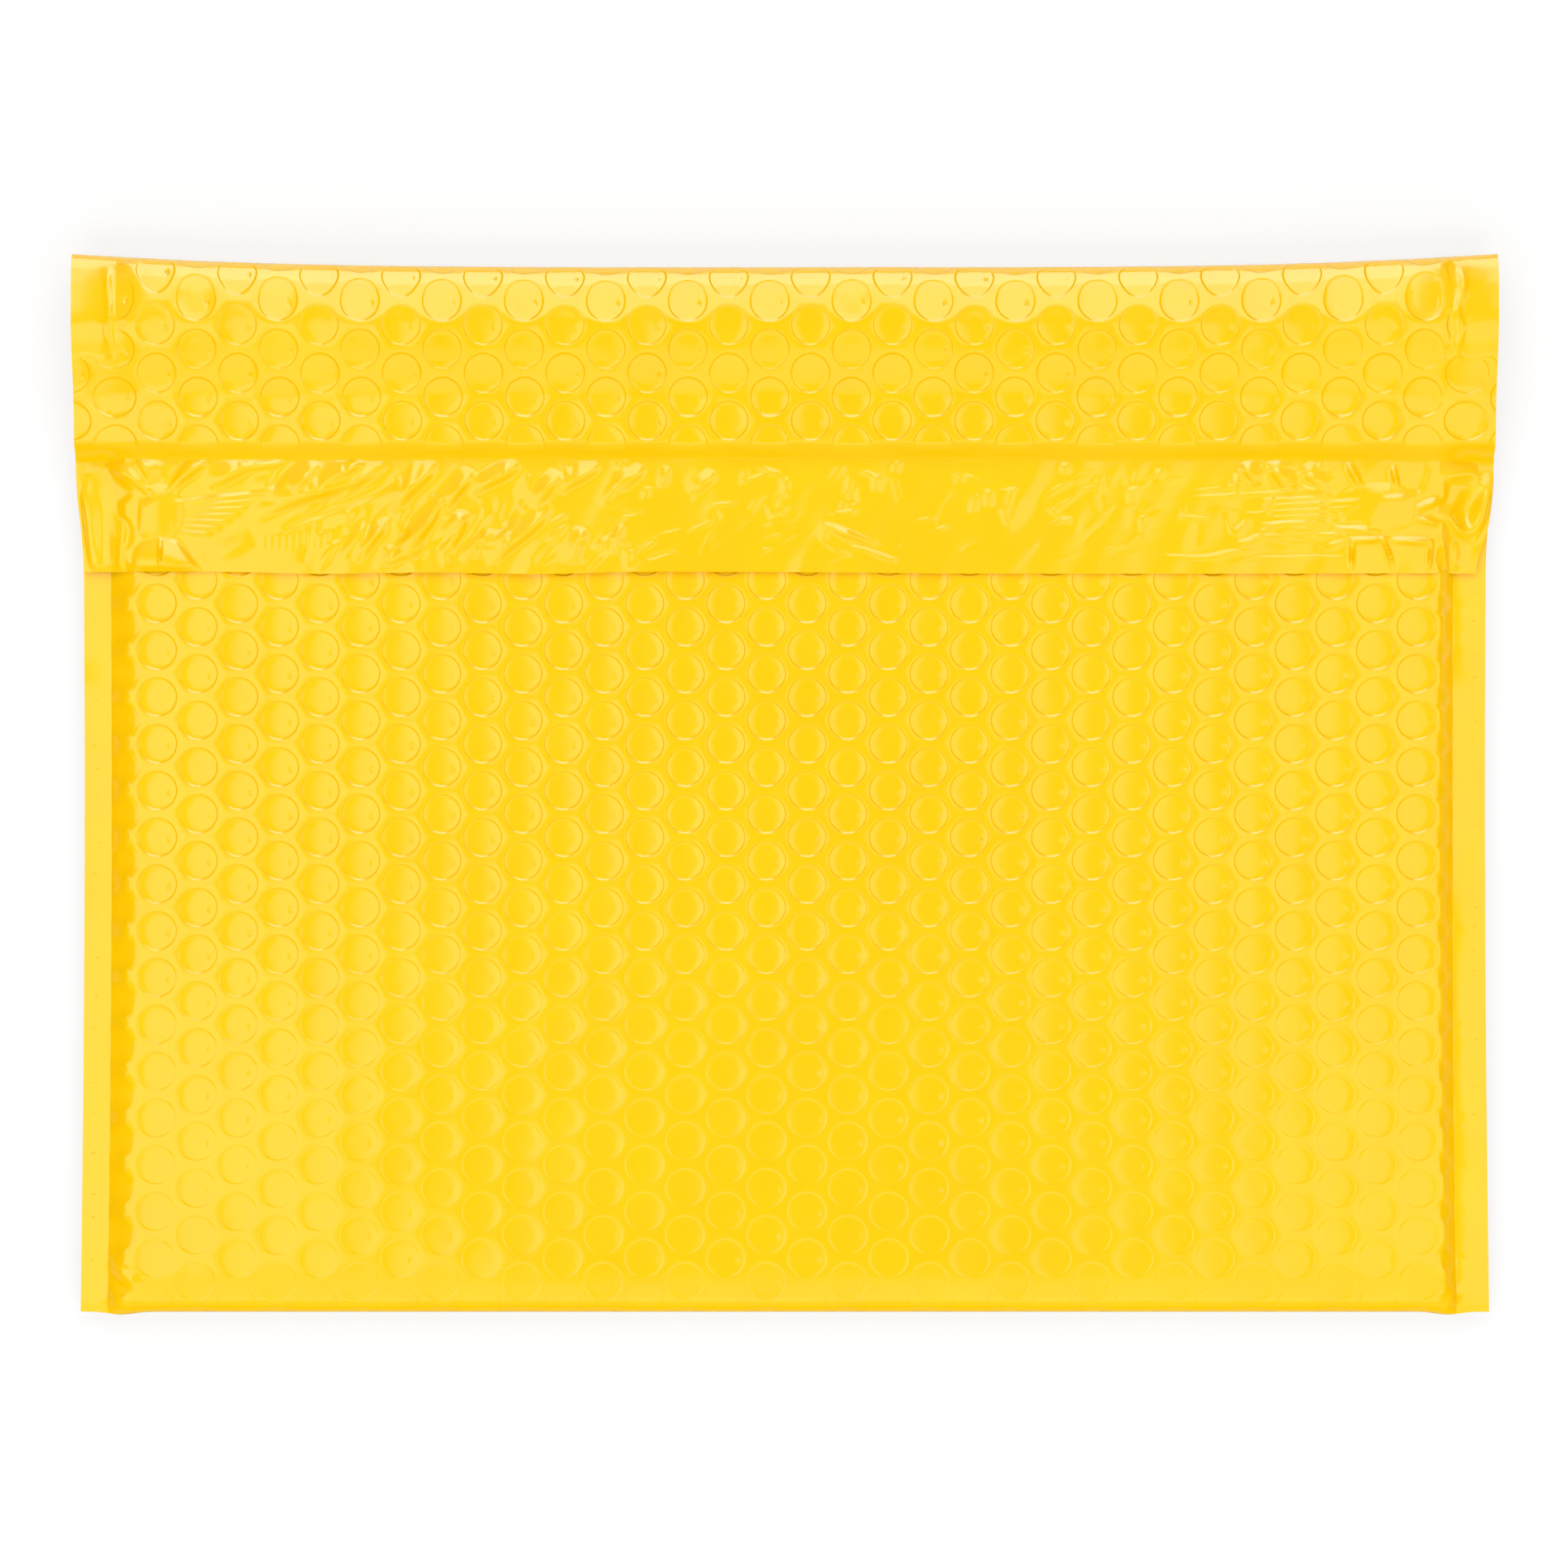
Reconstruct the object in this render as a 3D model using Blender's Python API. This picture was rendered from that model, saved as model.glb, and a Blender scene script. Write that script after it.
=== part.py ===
# Padded envelope: a poly bubble mailer, sealed flat with its flap glued down.
#
# The mailer is one web of yellow film with bubble film welded to it, flat side out. The web runs up the
# back, folds over at the top and comes down the front as the flap. Where the photo shows the round cells
# of the bubble film, each one is a shallow dish in the web. Everything is welded, folded or glued, so the
# whole mailer is one solid. Metres, +X across, +Y towards the top fold, +Z up out of the front.

import math

import bmesh
import bpy
from mathutils import Matrix, Vector

MM = 0.001

# Outline of the closed mailer
WIDTH = 340.0 * MM  # over the side seams
HEIGHT = 251.8 * MM  # bottom fold to the middle of the top fold
WAIST = 1.0 * MM  # how far each side is drawn in at the middle
FOLD_BOW = 3.2 * MM  # the corners of the top fold stand this much above its middle

# The web and its bubble film
LAYER = 3.7 * MM  # thickness of one padded layer
PITCH = 11.35 * MM  # from one bubble to the next
FRONT_BUBBLE = (5.4 * MM, 13.3 * MM)  # one bubble of the front: across, and up from the bottom fold
FLAP_BUBBLE = (6.2 * MM, 16.7 * MM)  # one bubble of the flap: across, and up from the lining's end
CORNER_CUT = 0.499  # share of a cell's side that the flat web takes at each corner
DISH = 0.45 * MM
CELL_RADIUS = PITCH / math.sqrt(3)  # corner radius of one lattice cell
COLUMN_STEP = PITCH * math.sqrt(3) / 2

# Side seams: the layers welded into one flat strip, with a slope up to the padding
SEAM = 7.4 * MM
SEAM_THICK = 0.5 * MM
SLOPE = 6.1 * MM
FLAP_SEAM_OUT = 1.5 * MM  # the folded-over end of the seam splays out this far

# The folded-over end and the flap, measured down from the top fold
POUCH_TURN = 22.0 * MM  # depth of the welded pouch that is folded over
LINED_END = 42.5 * MM  # where the bubble lining of the flap stops
FILM_END = 73.6 * MM  # free edge of the flap
DRAPE = 8.0 * MM  # run of the step from the folded pouch down to the lip
STEP = 5.2 * MM  # run of the film from the lining's end down to the pouch
FILM_THICK = 0.5 * MM
FILM_SHORT_LEFT = 1.4 * MM  # the film's ends stop short of the seams' outer edges
FILM_SHORT_RIGHT = 3.0 * MM
LIP_DROOP = 1.8 * MM
FILM_DROOP = 1.7 * MM

# Main folds of the glued film: centre across as a share of the half width, centre up as a share of the
# film's depth, half length, half width, height and turn in degrees
FILM_FOLDS = (
    (-0.88, 0.42, 4.5 * MM, 5.0 * MM, 0.6 * MM, 0),
    (-0.94, 0.68, 9.0 * MM, 1.6 * MM, 1.4 * MM, -50),
    (-0.89, 0.10, 10.0 * MM, 2.4 * MM, 1.3 * MM, 10),
    (-0.62, 0.68, 16.0 * MM, 1.6 * MM, 1.2 * MM, 28),
    (-0.39, 0.45, 13.0 * MM, 1.5 * MM, 0.9 * MM, 40),
    (0.11, 0.23, 7.0 * MM, 1.4 * MM, 0.8 * MM, 28),
    (0.55, 0.58, 22.0 * MM, 1.3 * MM, 0.7 * MM, 6),
    (0.85, 0.16, 5.5 * MM, 3.0 * MM, 1.0 * MM, 0),
    (0.935, 0.58, 10.0 * MM, 2.2 * MM, 1.8 * MM, -62),
)

HALF_THICK = LAYER
POUCH_THICK = 2 * LAYER
AXIS_Z = POUCH_THICK  # the top fold turns about this height
AXIS_RADIUS = POUCH_THICK
TOP_Y = (HEIGHT - FOLD_BOW) / 2
BOTTOM_Y = TOP_Y - HEIGHT
AXIS_Y = TOP_Y - AXIS_RADIUS
TURN_Y = TOP_Y - POUCH_TURN
LINED_Y = TOP_Y - LINED_END
FILM_Y = TOP_Y - FILM_END
FOOT_Y = BOTTOM_Y + HALF_THICK
SEAM_X = WIDTH / 2 - SEAM
PAD_X = SEAM_X - SLOPE
SKIN = DISH + 0.25 * MM  # the core stays this far under the padded skins
FLAP_TOP = AXIS_Z + AXIS_RADIUS
LIP_TOP = POUCH_THICK + LAYER
SKIN_FOOT = HALF_THICK - SEAM_THICK / 4  # the front skin is closed here, inside the seam strips
SKIN_BITE = SEAM_THICK / 10  # how far a skin's edge stands off the middle of a seam strip
HUB = 0.5 * MM  # inner radius of the top fold


def clear_scene():
    for obj in list(bpy.data.objects):
        bpy.data.objects.remove(obj, do_unlink=True)


def collection(name, hidden=False):
    made = bpy.data.collections.new(name)
    made.hide_render = hidden
    bpy.context.scene.collection.children.link(made)
    return made


def blend(low, high, value):
    """0 below low, 1 above high, and an S between them."""
    t = min(max((value - low) / (high - low), 0.0), 1.0)
    return t * t * (3 - 2 * t)


def under_skin(reach):
    """Distance from the top fold's axis after the room for the flap's skin is taken off."""
    return reach - (reach - HUB) * SKIN / AXIS_RADIUS


def set_out(point):
    """Draws a point of the straight mailer to its real outline: the waist, the bowed fold, the flap's splay."""
    x, y, z = point
    across = min(abs(x) / (WIDTH / 2), 1.0)
    waist = WAIST * (1 - (y / (HEIGHT / 2)) ** 2) * across
    splay = FLAP_SEAM_OUT * blend(PAD_X, SEAM_X + SEAM, abs(x)) * blend(FILM_Y, LINED_Y, y)
    bow = FOLD_BOW * across**4 * blend(LINED_Y, TOP_Y - 2 * MM, y)
    return Vector((x + math.copysign(splay - waist, x), y + bow, z))


def swell(x, seam_x=SEAM_X):
    """How full the padding is at x: 1 over the middle, 0 at the seam."""
    edge = seam_x - SLOPE
    return math.sqrt(max(1 - blend(edge, seam_x, abs(x)) ** 1.3, 0.0))


def object_from(bm, name, home):
    for vert in bm.verts:
        vert.co = set_out(vert.co)
    bmesh.ops.recalc_face_normals(bm, faces=bm.faces)
    mesh = bpy.data.meshes.new(name)
    bm.to_mesh(mesh)
    bm.free()
    obj = bpy.data.objects.new(name, mesh)
    home.objects.link(obj)
    return obj


def bubble_lattice(x_half, y_low, y_high, first_x, first_y):
    """A flat sheet of bubble film: six-sided rims that touch, a dish in each and flat web between them."""
    bm = bmesh.new()
    turn = Matrix.Rotation(math.radians(30), 4, "Z")
    columns = math.ceil(x_half / COLUMN_STEP) + 2
    rows_down = math.ceil((first_y - y_low) / PITCH) + 2
    rows_up = math.ceil((y_high - first_y) / PITCH) + 2
    for column in range(-columns, columns + 1):
        x = first_x + column * COLUMN_STEP
        for row in range(-rows_down, rows_up + 1):
            y = first_y + (row + 0.5 * (column % 2)) * PITCH
            spot = Matrix.Translation((x, y, 0)) @ turn
            bmesh.ops.create_circle(bm, cap_ends=True, segments=6, radius=CELL_RADIUS, matrix=spot)
    bmesh.ops.remove_doubles(bm, verts=bm.verts, dist=0.02 * MM)
    inner = [vert for vert in bm.verts if len(vert.link_faces) == 3]
    bmesh.ops.bevel(bm, geom=inner, offset=CORNER_CUT * CELL_RADIUS, segments=1, affect="VERTICES")
    bmesh.ops.remove_doubles(bm, verts=bm.verts, dist=0.05 * MM)
    bmesh.ops.recalc_face_normals(bm, faces=bm.faces)
    if sum(face.normal.z for face in bm.faces) < 0:
        bmesh.ops.reverse_faces(bm, faces=bm.faces)
    cells = [face for face in bm.faces if len(face.verts) == 6]
    bmesh.ops.poke(bm, faces=cells, offset=-DISH)
    cut(bm, (x_half, 0, 0), (1, 0, 0), True)
    cut(bm, (-x_half, 0, 0), (-1, 0, 0), True)
    cut(bm, (0, y_high, 0), (0, 1, 0), True)
    cut(bm, (0, y_low, 0), (0, -1, 0), True)
    return bm


def cut(bm, place, normal, clear=False):
    """Adds a line of edges across the sheet, and clears what is beyond it."""
    everything = bm.verts[:] + bm.edges[:] + bm.faces[:]
    bmesh.ops.bisect_plane(bm, geom=everything, dist=0.02 * MM, plane_co=place, plane_no=normal, clear_outer=clear)


def close_below(bm, floor_of):
    """Gives the sheet walls and a floor: floor_of(x, y, z) is the height below each point of its edge."""
    rim = [edge for edge in bm.edges if edge.is_boundary]
    made = bmesh.ops.extrude_edge_only(bm, edges=rim)["geom"]
    for vert in (item for item in made if isinstance(item, bmesh.types.BMVert)):
        vert.co.z = floor_of(*vert.co)
    bottom = [edge for edge in made if isinstance(edge, bmesh.types.BMEdge) and edge.is_boundary]
    bmesh.ops.edgeloop_fill(bm, edges=bottom)


def front_skin(home):
    """The padded front below the flap, from under the film to the bottom fold."""
    fold_run = HALF_THICK * math.radians(78)
    low = FOOT_Y - fold_run
    first_x, up = FRONT_BUBBLE
    bm = bubble_lattice(SEAM_X + SKIN_BITE, low, FILM_Y + PITCH / 4, first_x, BOTTOM_Y + up)
    for side in (-1, 1):
        cut(bm, (side * PAD_X, 0, 0), (1, 0, 0))
        cut(bm, (side * (PAD_X + 0.55 * SLOPE), 0, 0), (1, 0, 0))
    cut(bm, (0, FOOT_Y, 0), (0, 1, 0))
    cut(bm, (0, FOOT_Y - 0.5 * fold_run, 0), (0, 1, 0))
    for vert in bm.verts:
        x, run, dish = vert.co
        half = SEAM_THICK / 2 - 0.1 * MM + (HALF_THICK - SEAM_THICK / 2) * swell(x)
        y, z = run, HALF_THICK + half
        if run < FOOT_Y:
            angle = (FOOT_Y - run) / HALF_THICK
            y = FOOT_Y - HALF_THICK * math.sin(angle)
            z = HALF_THICK + half * math.cos(angle)
        vert.co = (x, y, z + dish * swell(x) ** 2)
    close_below(bm, lambda x, y, z: SKIN_FOOT)
    return object_from(bm, "front_skin", home)


def flap_height(x, y):
    """Height of the lined flap over the straight part behind the fold."""
    rise = blend(TURN_Y - DRAPE, TURN_Y, y)
    lip = LIP_TOP - LIP_DROOP * blend(PAD_X - DRAPE, SEAM_X + SEAM, abs(x))
    seam = AXIS_Z + under_skin(HALF_THICK) + SKIN_BITE
    turned = seam + (FLAP_TOP - seam) * swell(x)
    return lip + (turned - lip) * rise


def flap_skin(home):
    """The lined part of the flap: the pouch end that is folded over, then the single-layer lip."""
    nose_run = AXIS_RADIUS * math.radians(66)
    top = AXIS_Y + nose_run
    first_x, up = FLAP_BUBBLE
    bm = bubble_lattice(SEAM_X + SEAM, LINED_Y, top, first_x, LINED_Y + up)
    inner = SEAM_X + SKIN_BITE
    for side in (-1, 1):
        cut(bm, (side * inner, 0, 0), (1, 0, 0))
    cut(bm, (0, TURN_Y, 0), (0, 1, 0))
    cut(bm, (0, TURN_Y - DRAPE, 0), (0, 1, 0))
    beyond = [f for f in bm.faces if abs(f.calc_center_median().x) > inner and f.calc_center_median().y > TURN_Y]
    bmesh.ops.delete(bm, geom=beyond, context="FACES")
    for side in (-1, 1):
        cut(bm, (side * PAD_X, 0, 0), (1, 0, 0))
    cut(bm, (0, AXIS_Y, 0), (0, 1, 0))
    lower = set(bm.verts)
    bmesh.ops.extrude_face_region(bm, geom=bm.faces[:], use_keep_orig=True)
    for vert in bm.verts:
        x, run, dish = vert.co
        angle = max(run - AXIS_Y, 0) / AXIS_RADIUS
        turned = blend(TURN_Y - 3 * MM, TURN_Y, run)
        reach = flap_height(x, run) - AXIS_Z
        rise = reach
        if vert in lower:
            foot = -0.2 * LAYER
            rise = foot + (under_skin(HALF_THICK) - SKIN_BITE - foot) * turned
            dish = 0
        y = min(run, AXIS_Y) + AXIS_RADIUS * math.sin(angle)
        dish *= 1 - turned * (1 - swell(x) ** 2)
        vert.co = (x, y, AXIS_Z + rise * math.cos(angle) + dish)
    return object_from(bm, "flap_skin", home)


def film_fold(x, up, depth):
    """Height that the main folds add to the glued film."""
    total = 0.0
    for across, share, long, wide, height, turn in FILM_FOLDS:
        c, s = math.cos(math.radians(turn)), math.sin(math.radians(turn))
        dx, dy = x - across * WIDTH / 2, up - share * depth
        along = (dx * c + dy * s) / long
        side = (dy * c - dx * s) / wide
        total += height * math.exp(-(along**4) - side**2)
    return total


def film_strip(home):
    """The unlined film at the flap's free edge, glued to the front with its tape hidden behind it."""
    left = FILM_SHORT_LEFT - WIDTH / 2
    length = WIDTH - FILM_SHORT_LEFT - FILM_SHORT_RIGHT
    depth = LINED_Y + 1.2 * MM - FILM_Y
    bm = bmesh.new()
    bmesh.ops.create_grid(bm, x_segments=38, y_segments=8, size=0.5)
    for vert in bm.verts:
        x = left + (vert.co.x + 0.5) * length
        up = (vert.co.y + 0.5) * depth
        y = FILM_Y + up
        lie = POUCH_THICK + FILM_THICK - FILM_DROOP * blend(PAD_X - DRAPE / 2, SEAM_X + SEAM / 2, abs(x))
        step = blend(LINED_Y - STEP, LINED_Y + 0.6 * MM, y)
        lined = flap_height(x, LINED_Y) - 0.35 * MM
        vert.co = (x, y, lie + (lined - lie) * step + film_fold(x, up, depth) * (1 - step))
    close_below(bm, lambda x, y, z: 1.5 * LAYER)
    return object_from(bm, "film_strip", home)


def core_section():
    """Half outline of the pouch across the mailer, from the back to the front, as (x, height above the back,
    height of the back below it)."""
    front = POUCH_THICK - SKIN
    back = HALF_THICK - SEAM_THICK / 2
    return (
        (PAD_X, 0.0, 0.0),
        (PAD_X + 0.62 * SLOPE, 0.24 * LAYER, 0.24 * LAYER),
        (SEAM_X, back, back),
        (SEAM_X + SEAM, back, back),
        (SEAM_X + SEAM, back + SEAM_THICK, back),
        (SEAM_X - 0.2 * MM, back + SEAM_THICK, back),
        (PAD_X + 0.45 * SLOPE, 0.74 * front, 0.15 * LAYER),
        (PAD_X - 0.6 * MM, front, 0.0),
    )


def core_stations():
    """Where the section stands along the web: (y and z of its foot, turn, fullness of back, fullness of front)."""
    found = []
    for degrees in (84, 60, 30):
        angle = math.radians(degrees)
        full = math.cos(angle)
        found.append((FOOT_Y - HALF_THICK * math.sin(angle), 0.0, 0.0, full, 0.6 * full))
    for part in range(6):
        found.append((FOOT_Y + (AXIS_Y - FOOT_Y) * part / 5, 0.0, 0.0, 1.0, 1.0))
    for part in range(1, 10):
        found.append((AXIS_Y, AXIS_Z, math.pi * part / 10, 1.0, 1.0))
    found.append((AXIS_Y, AXIS_Z, math.pi, 1.0, 1.0))
    found.append((TURN_Y + 0.4 * MM, AXIS_Z, math.pi, 1.0, 1.0))
    return found


def core(home):
    """The plain body under the skins: the seamed section swept up the back and over the top fold."""
    right = core_section()
    section = list(right) + [(-x, n, under) for x, n, under in reversed(right)]
    bm = bmesh.new()
    rings = []
    for y, axis_z, turn, back, front in core_stations():
        ring = []
        for x, n, under in section:
            full = back if n < HALF_THICK else front
            n = HALF_THICK + (n - HALF_THICK) * full
            if axis_z == 0.0:
                ring.append(bm.verts.new((x, y, n)))
                continue
            reach = AXIS_RADIUS - n
            share = blend(0.62 * math.pi, 0.85 * math.pi, turn)
            reach += (under_skin(reach) - reach) * share
            out = (reach + under) * math.sin(turn)
            ring.append(bm.verts.new((x, y + out, axis_z - reach * math.cos(turn))))
        rings.append(ring)
    for low, high in zip(rings, rings[1:]):
        for i in range(len(section)):
            j = (i + 1) % len(section)
            bm.faces.new((low[i], low[j], high[j], high[i]))
    bm.faces.new(rings[0])
    bm.faces.new(rings[-1])
    return object_from(bm, "mailer", home)


def filler(home):
    """What lies between the pouch and its folded-over end, so that the fold holds no sealed gap."""
    bm = bmesh.new()
    bmesh.ops.create_cube(bm, size=1.0)
    low, high = LINED_Y + SLOPE / 3, AXIS_Y + HALF_THICK
    for vert in bm.verts:
        x = vert.co.x * 2 * (PAD_X - 2 * MM)
        y = (low + high) / 2 + vert.co.y * (high - low)
        vert.co = (x, y, AXIS_Z + (vert.co.z * 1.25 - 0.1) * LAYER)
    return object_from(bm, "filler", home)


def film_material():
    """Yellow polyethylene film: glossy and a little hazy."""
    made = bpy.data.materials.new("yellow_film")
    made.use_nodes = True
    shader = made.node_tree.nodes["Principled BSDF"]
    shader.inputs["Base Color"].default_value = (1.0, 0.64, 0.012, 1)
    shader.inputs["Roughness"].default_value = 0.36
    shader.inputs["IOR"].default_value = 1.5
    made.diffuse_color = (1.0, 0.64, 0.012, 1)
    return made


def main():
    clear_scene()
    visible = collection("padded_envelope")
    helpers = collection("helpers", hidden=True)
    mailer = core(visible)
    for operand in (filler(helpers), front_skin(helpers), flap_skin(helpers), film_strip(helpers)):
        operand.hide_render = True
        operand.display_type = "WIRE"
        join = mailer.modifiers.new(operand.name, "BOOLEAN")
        join.operation = "UNION"
        join.solver = "EXACT"
        join.object = operand
    mailer.data.materials.append(film_material())


main()
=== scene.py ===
# %% [markdown]
# # A padded envelope, seen from above
# The object is a poly bubble mailer: one web of yellow film with bubble film welded to it, folded at the
# bottom and the top, welded along both sides, and closed with a glued flap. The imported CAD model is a
# plain solid of it. This lesson dresses that solid in three pieces: the pouch, the lined flap that comes
# over the top, and the thin film at the flap's free edge. A fourth piece holds the tiny pricks that the
# welding bar leaves along the seams.

import math

import bmesh
import bpy
import numpy as np
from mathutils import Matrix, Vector


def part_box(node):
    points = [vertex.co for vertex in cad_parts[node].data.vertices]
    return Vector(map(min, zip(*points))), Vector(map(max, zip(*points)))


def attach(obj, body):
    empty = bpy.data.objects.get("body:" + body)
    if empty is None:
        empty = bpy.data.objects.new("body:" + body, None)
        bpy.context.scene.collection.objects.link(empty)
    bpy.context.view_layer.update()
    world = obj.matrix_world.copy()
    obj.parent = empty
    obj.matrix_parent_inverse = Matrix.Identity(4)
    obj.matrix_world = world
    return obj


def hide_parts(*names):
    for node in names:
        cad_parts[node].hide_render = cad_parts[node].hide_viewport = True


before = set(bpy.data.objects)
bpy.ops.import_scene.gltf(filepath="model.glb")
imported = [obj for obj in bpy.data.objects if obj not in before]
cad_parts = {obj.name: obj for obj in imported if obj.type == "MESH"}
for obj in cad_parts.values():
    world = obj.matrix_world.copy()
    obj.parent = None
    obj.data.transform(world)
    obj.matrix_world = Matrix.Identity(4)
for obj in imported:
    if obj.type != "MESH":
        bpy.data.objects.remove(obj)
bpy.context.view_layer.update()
print("nodes in the frame:", sorted(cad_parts))

# %% [markdown]
# ## Sizes
# Everything is in metres and starts from the CAD solid's own box, so a piece lands where the solid is.
# The fold lines are measured down from the top fold, as somebody would measure a real mailer.

# %% Take the sizes from the solid and name the rest
MM = 0.001
low, high = (Vector(corner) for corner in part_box("mailer"))
LAYER = high.z / 4  # one padded layer: the top fold is four layers thick
FOLD_BOW = 3.2 * MM  # the corners of the top fold stand this much above its middle
TOP_Y, BOTTOM_Y = high.y - FOLD_BOW, low.y
SEAM_OUT = 170.0 * MM  # outer edge of the side weld
SEAM_IN = SEAM_OUT - 7.4 * MM
SLOPE = 6.1 * MM  # from the weld up to the full thickness
PAD_X = SEAM_IN - SLOPE
FRONT_Z = 2 * LAYER
AXIS_Y = TOP_Y - 2 * LAYER  # the top fold turns about this line
TURN_Y = TOP_Y - 22.0 * MM  # end of the welded pouch that is folded over
LINED_Y = TOP_Y - 42.5 * MM  # end of the flap's bubble lining
FILM_Y = TOP_Y - 73.6 * MM  # free edge of the flap
FOOT_Y = BOTTOM_Y + LAYER
WAIST = 1.0 * MM  # how far each side is drawn in at the middle
SPLAY = 1.5 * MM  # how far the welds stand out under the flap
print("layer %.2f mm, top fold at y = %.1f mm" % (LAYER / MM, TOP_Y / MM))

# %% [markdown]
# ## Camera
# The photograph looks straight down on the front. A long lens far above keeps the sides of the mailer
# parallel, and the picture's width covers about 378 mm of the front.

# %% Place the camera
CAMERA_HEIGHT = 1.4
VIEW_WIDTH = 377.5 * MM


def add_object(name, data):
    """Puts a mesh, lamp or camera into the scene."""
    made = bpy.data.objects.new(name, data)
    bpy.context.scene.collection.objects.link(made)
    return made


camera_data = bpy.data.cameras.new("camera")
camera = add_object("camera", camera_data)
camera.location = (-0.2 * MM, -0.1 * MM, CAMERA_HEIGHT)
camera_data.sensor_width = 36.0
camera_data.lens = 36.0 * (CAMERA_HEIGHT - FRONT_Z) / VIEW_WIDTH
bpy.context.scene.camera = camera
print("lens %.0f mm" % camera_data.lens)

# %% [markdown]
# ## Helpers for bending flat sheets
# Each piece starts as a flat sheet and is then bent in NumPy, one rule for every point. A blend is an S
# between 0 and 1. A ripple is smooth random unevenness, from a small table of seeded numbers, so it is
# the same in each run.


# %% Define the blend and the ripple
def blend(start, end, value):
    t = np.clip((value - start) / (end - start), 0, 1)
    return t * t * (3 - 2 * t)


def ripple(x, y, size, seed):
    """Unevenness from -1 to 1, with bumps about size wide."""
    table = np.random.default_rng(seed).uniform(-1, 1, (97, 97))
    u, v = x / size + 41.3, y / size + 37.9
    i, j = np.floor(u).astype(int), np.floor(v).astype(int)
    fu, fv = u - i, v - j
    fu, fv = fu * fu * (3 - 2 * fu), fv * fv * (3 - 2 * fv)
    i, j, i1, j1 = i % 97, j % 97, (i + 1) % 97, (j + 1) % 97
    near = table[i, j] * (1 - fu) + table[i1, j] * fu
    far = table[i, j1] * (1 - fu) + table[i1, j1] * fu
    return near * (1 - fv) + far * fv


def bump(x, y, x0, y0, wide, high, turn=0.0):
    """A round or oval hill of height 1, wide by high, turned by so many degrees."""
    c, s = math.cos(math.radians(turn)), math.sin(math.radians(turn))
    along, side = (x - x0) * c + (y - y0) * s, (y - y0) * c - (x - x0) * s
    return np.exp(-((along / wide) ** 2) - (side / high) ** 2)


print("ripple at the origin: %.3f" % ripple(0.0, 0.0, 0.02, 1))

# %% [markdown]
# ## One bubble
# Bubble film is welded to the back of the web, so each 10 mm bubble shows as a shallow dish with a crisp
# round rim and flat film between the rims. One bubble is a small six-sided tile of 72 faces. Its rim has
# 18 points, and so has its border, which makes neighbouring tiles meet point to point. The tile carries
# a UV map of its own, with the bubble's centre at (0.5, 0.5): the material draws the finest part of the
# rim from it.

# %% Make the tile
PITCH = 11.35 * MM
COLUMN_STEP = PITCH * math.sqrt(3) / 2
RIM = 4.85 * MM
TILE_POINTS = 18
TILE_RINGS = ((0.0, -0.20), (0.55, -0.17), (0.90, -0.09), (1.0, 0.02))  # share of the rim, depth in mm


def bubble_tile():
    bm = bmesh.new()
    uv = bm.loops.layers.uv.new("bubble")
    rings = [[bm.verts.new((0, 0, TILE_RINGS[0][1] * MM))]]
    for share, depth in TILE_RINGS[1:]:
        spokes = [2 * math.pi * k / TILE_POINTS for k in range(TILE_POINTS)]
        r = share * RIM
        rings.append([bm.verts.new((r * math.cos(a), r * math.sin(a), depth * MM)) for a in spokes])
    border = []
    for a in spokes:
        off = (a % (math.pi / 3)) - math.pi / 6
        r = PITCH / 2 / math.cos(off)
        border.append(bm.verts.new((r * math.cos(a), r * math.sin(a), 0)))
    rings.append(border)
    for inner, outer in zip(rings, rings[1:]):
        for k in range(TILE_POINTS):
            n = (k + 1) % TILE_POINTS
            if len(inner) == 1:
                corners = (inner[0], outer[k], outer[n])
            else:
                corners = (inner[k], outer[k], outer[n], inner[n])
            for loop in bm.faces.new(corners).loops:
                loop[uv].uv = (loop.vert.co.x / PITCH + 0.5, loop.vert.co.y / PITCH + 0.5)
    mesh = bpy.data.meshes.new("bubble_tile")
    bm.to_mesh(mesh)
    bm.free()
    return add_object("bubble_tile", mesh)


tile = bubble_tile()
print("tile:", len(tile.data.polygons), "faces")

# %% [markdown]
# ## The film's material
# Polyethylene film has one strong colour, a soft gloss and a slight haze. Four things change over it: a
# very fine grain that breaks up the highlights, a hair of colour change from place to place, the rims of
# the bubbles, and a small pinch in some of them. They come from one shader node group, which gives a
# colour, a roughness and a height. Rim and pinch are drawn from the tile's own UV map, so they stay sharp.

# %% Build the film shader
FILM_YELLOW = (1.0, 0.585, 0.0, 1)
FILM_DEEP = (1.0, 0.550, 0.0, 1)
RIM_WALL = (-0.046, 0.004)  # where the wall of the dish ends and starts, off the rim, as shares of the pitch
PINCH_AT = (0.245, -0.05)  # from the bubble's centre, as shares of the pitch
PINCH_TIGHT = (900.0, 330.0)  # how fast the pinch fades, across and up
GRAIN_SCALE, HAZE_SCALE, TINT_SCALE, PINCH_SCALE = 2600.0, 240.0, 55.0, 30.0  # noise, per metre
BUMP = 0.22 * MM  # what a height of 1 stands for


def math_for(tree):
    """A function that adds one math node to the tree, with numbers set on it and sockets linked to it."""
    def math_node(kind, a, b=None, c=None):
        node = tree.nodes.new("ShaderNodeMath")
        node.operation = kind
        for socket, value in zip(node.inputs, (a, b, c)):
            if isinstance(value, (int, float)):
                socket.default_value = value
            elif value is not None:
                tree.links.new(value, socket)
        return node.outputs[0]

    return math_node


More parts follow.
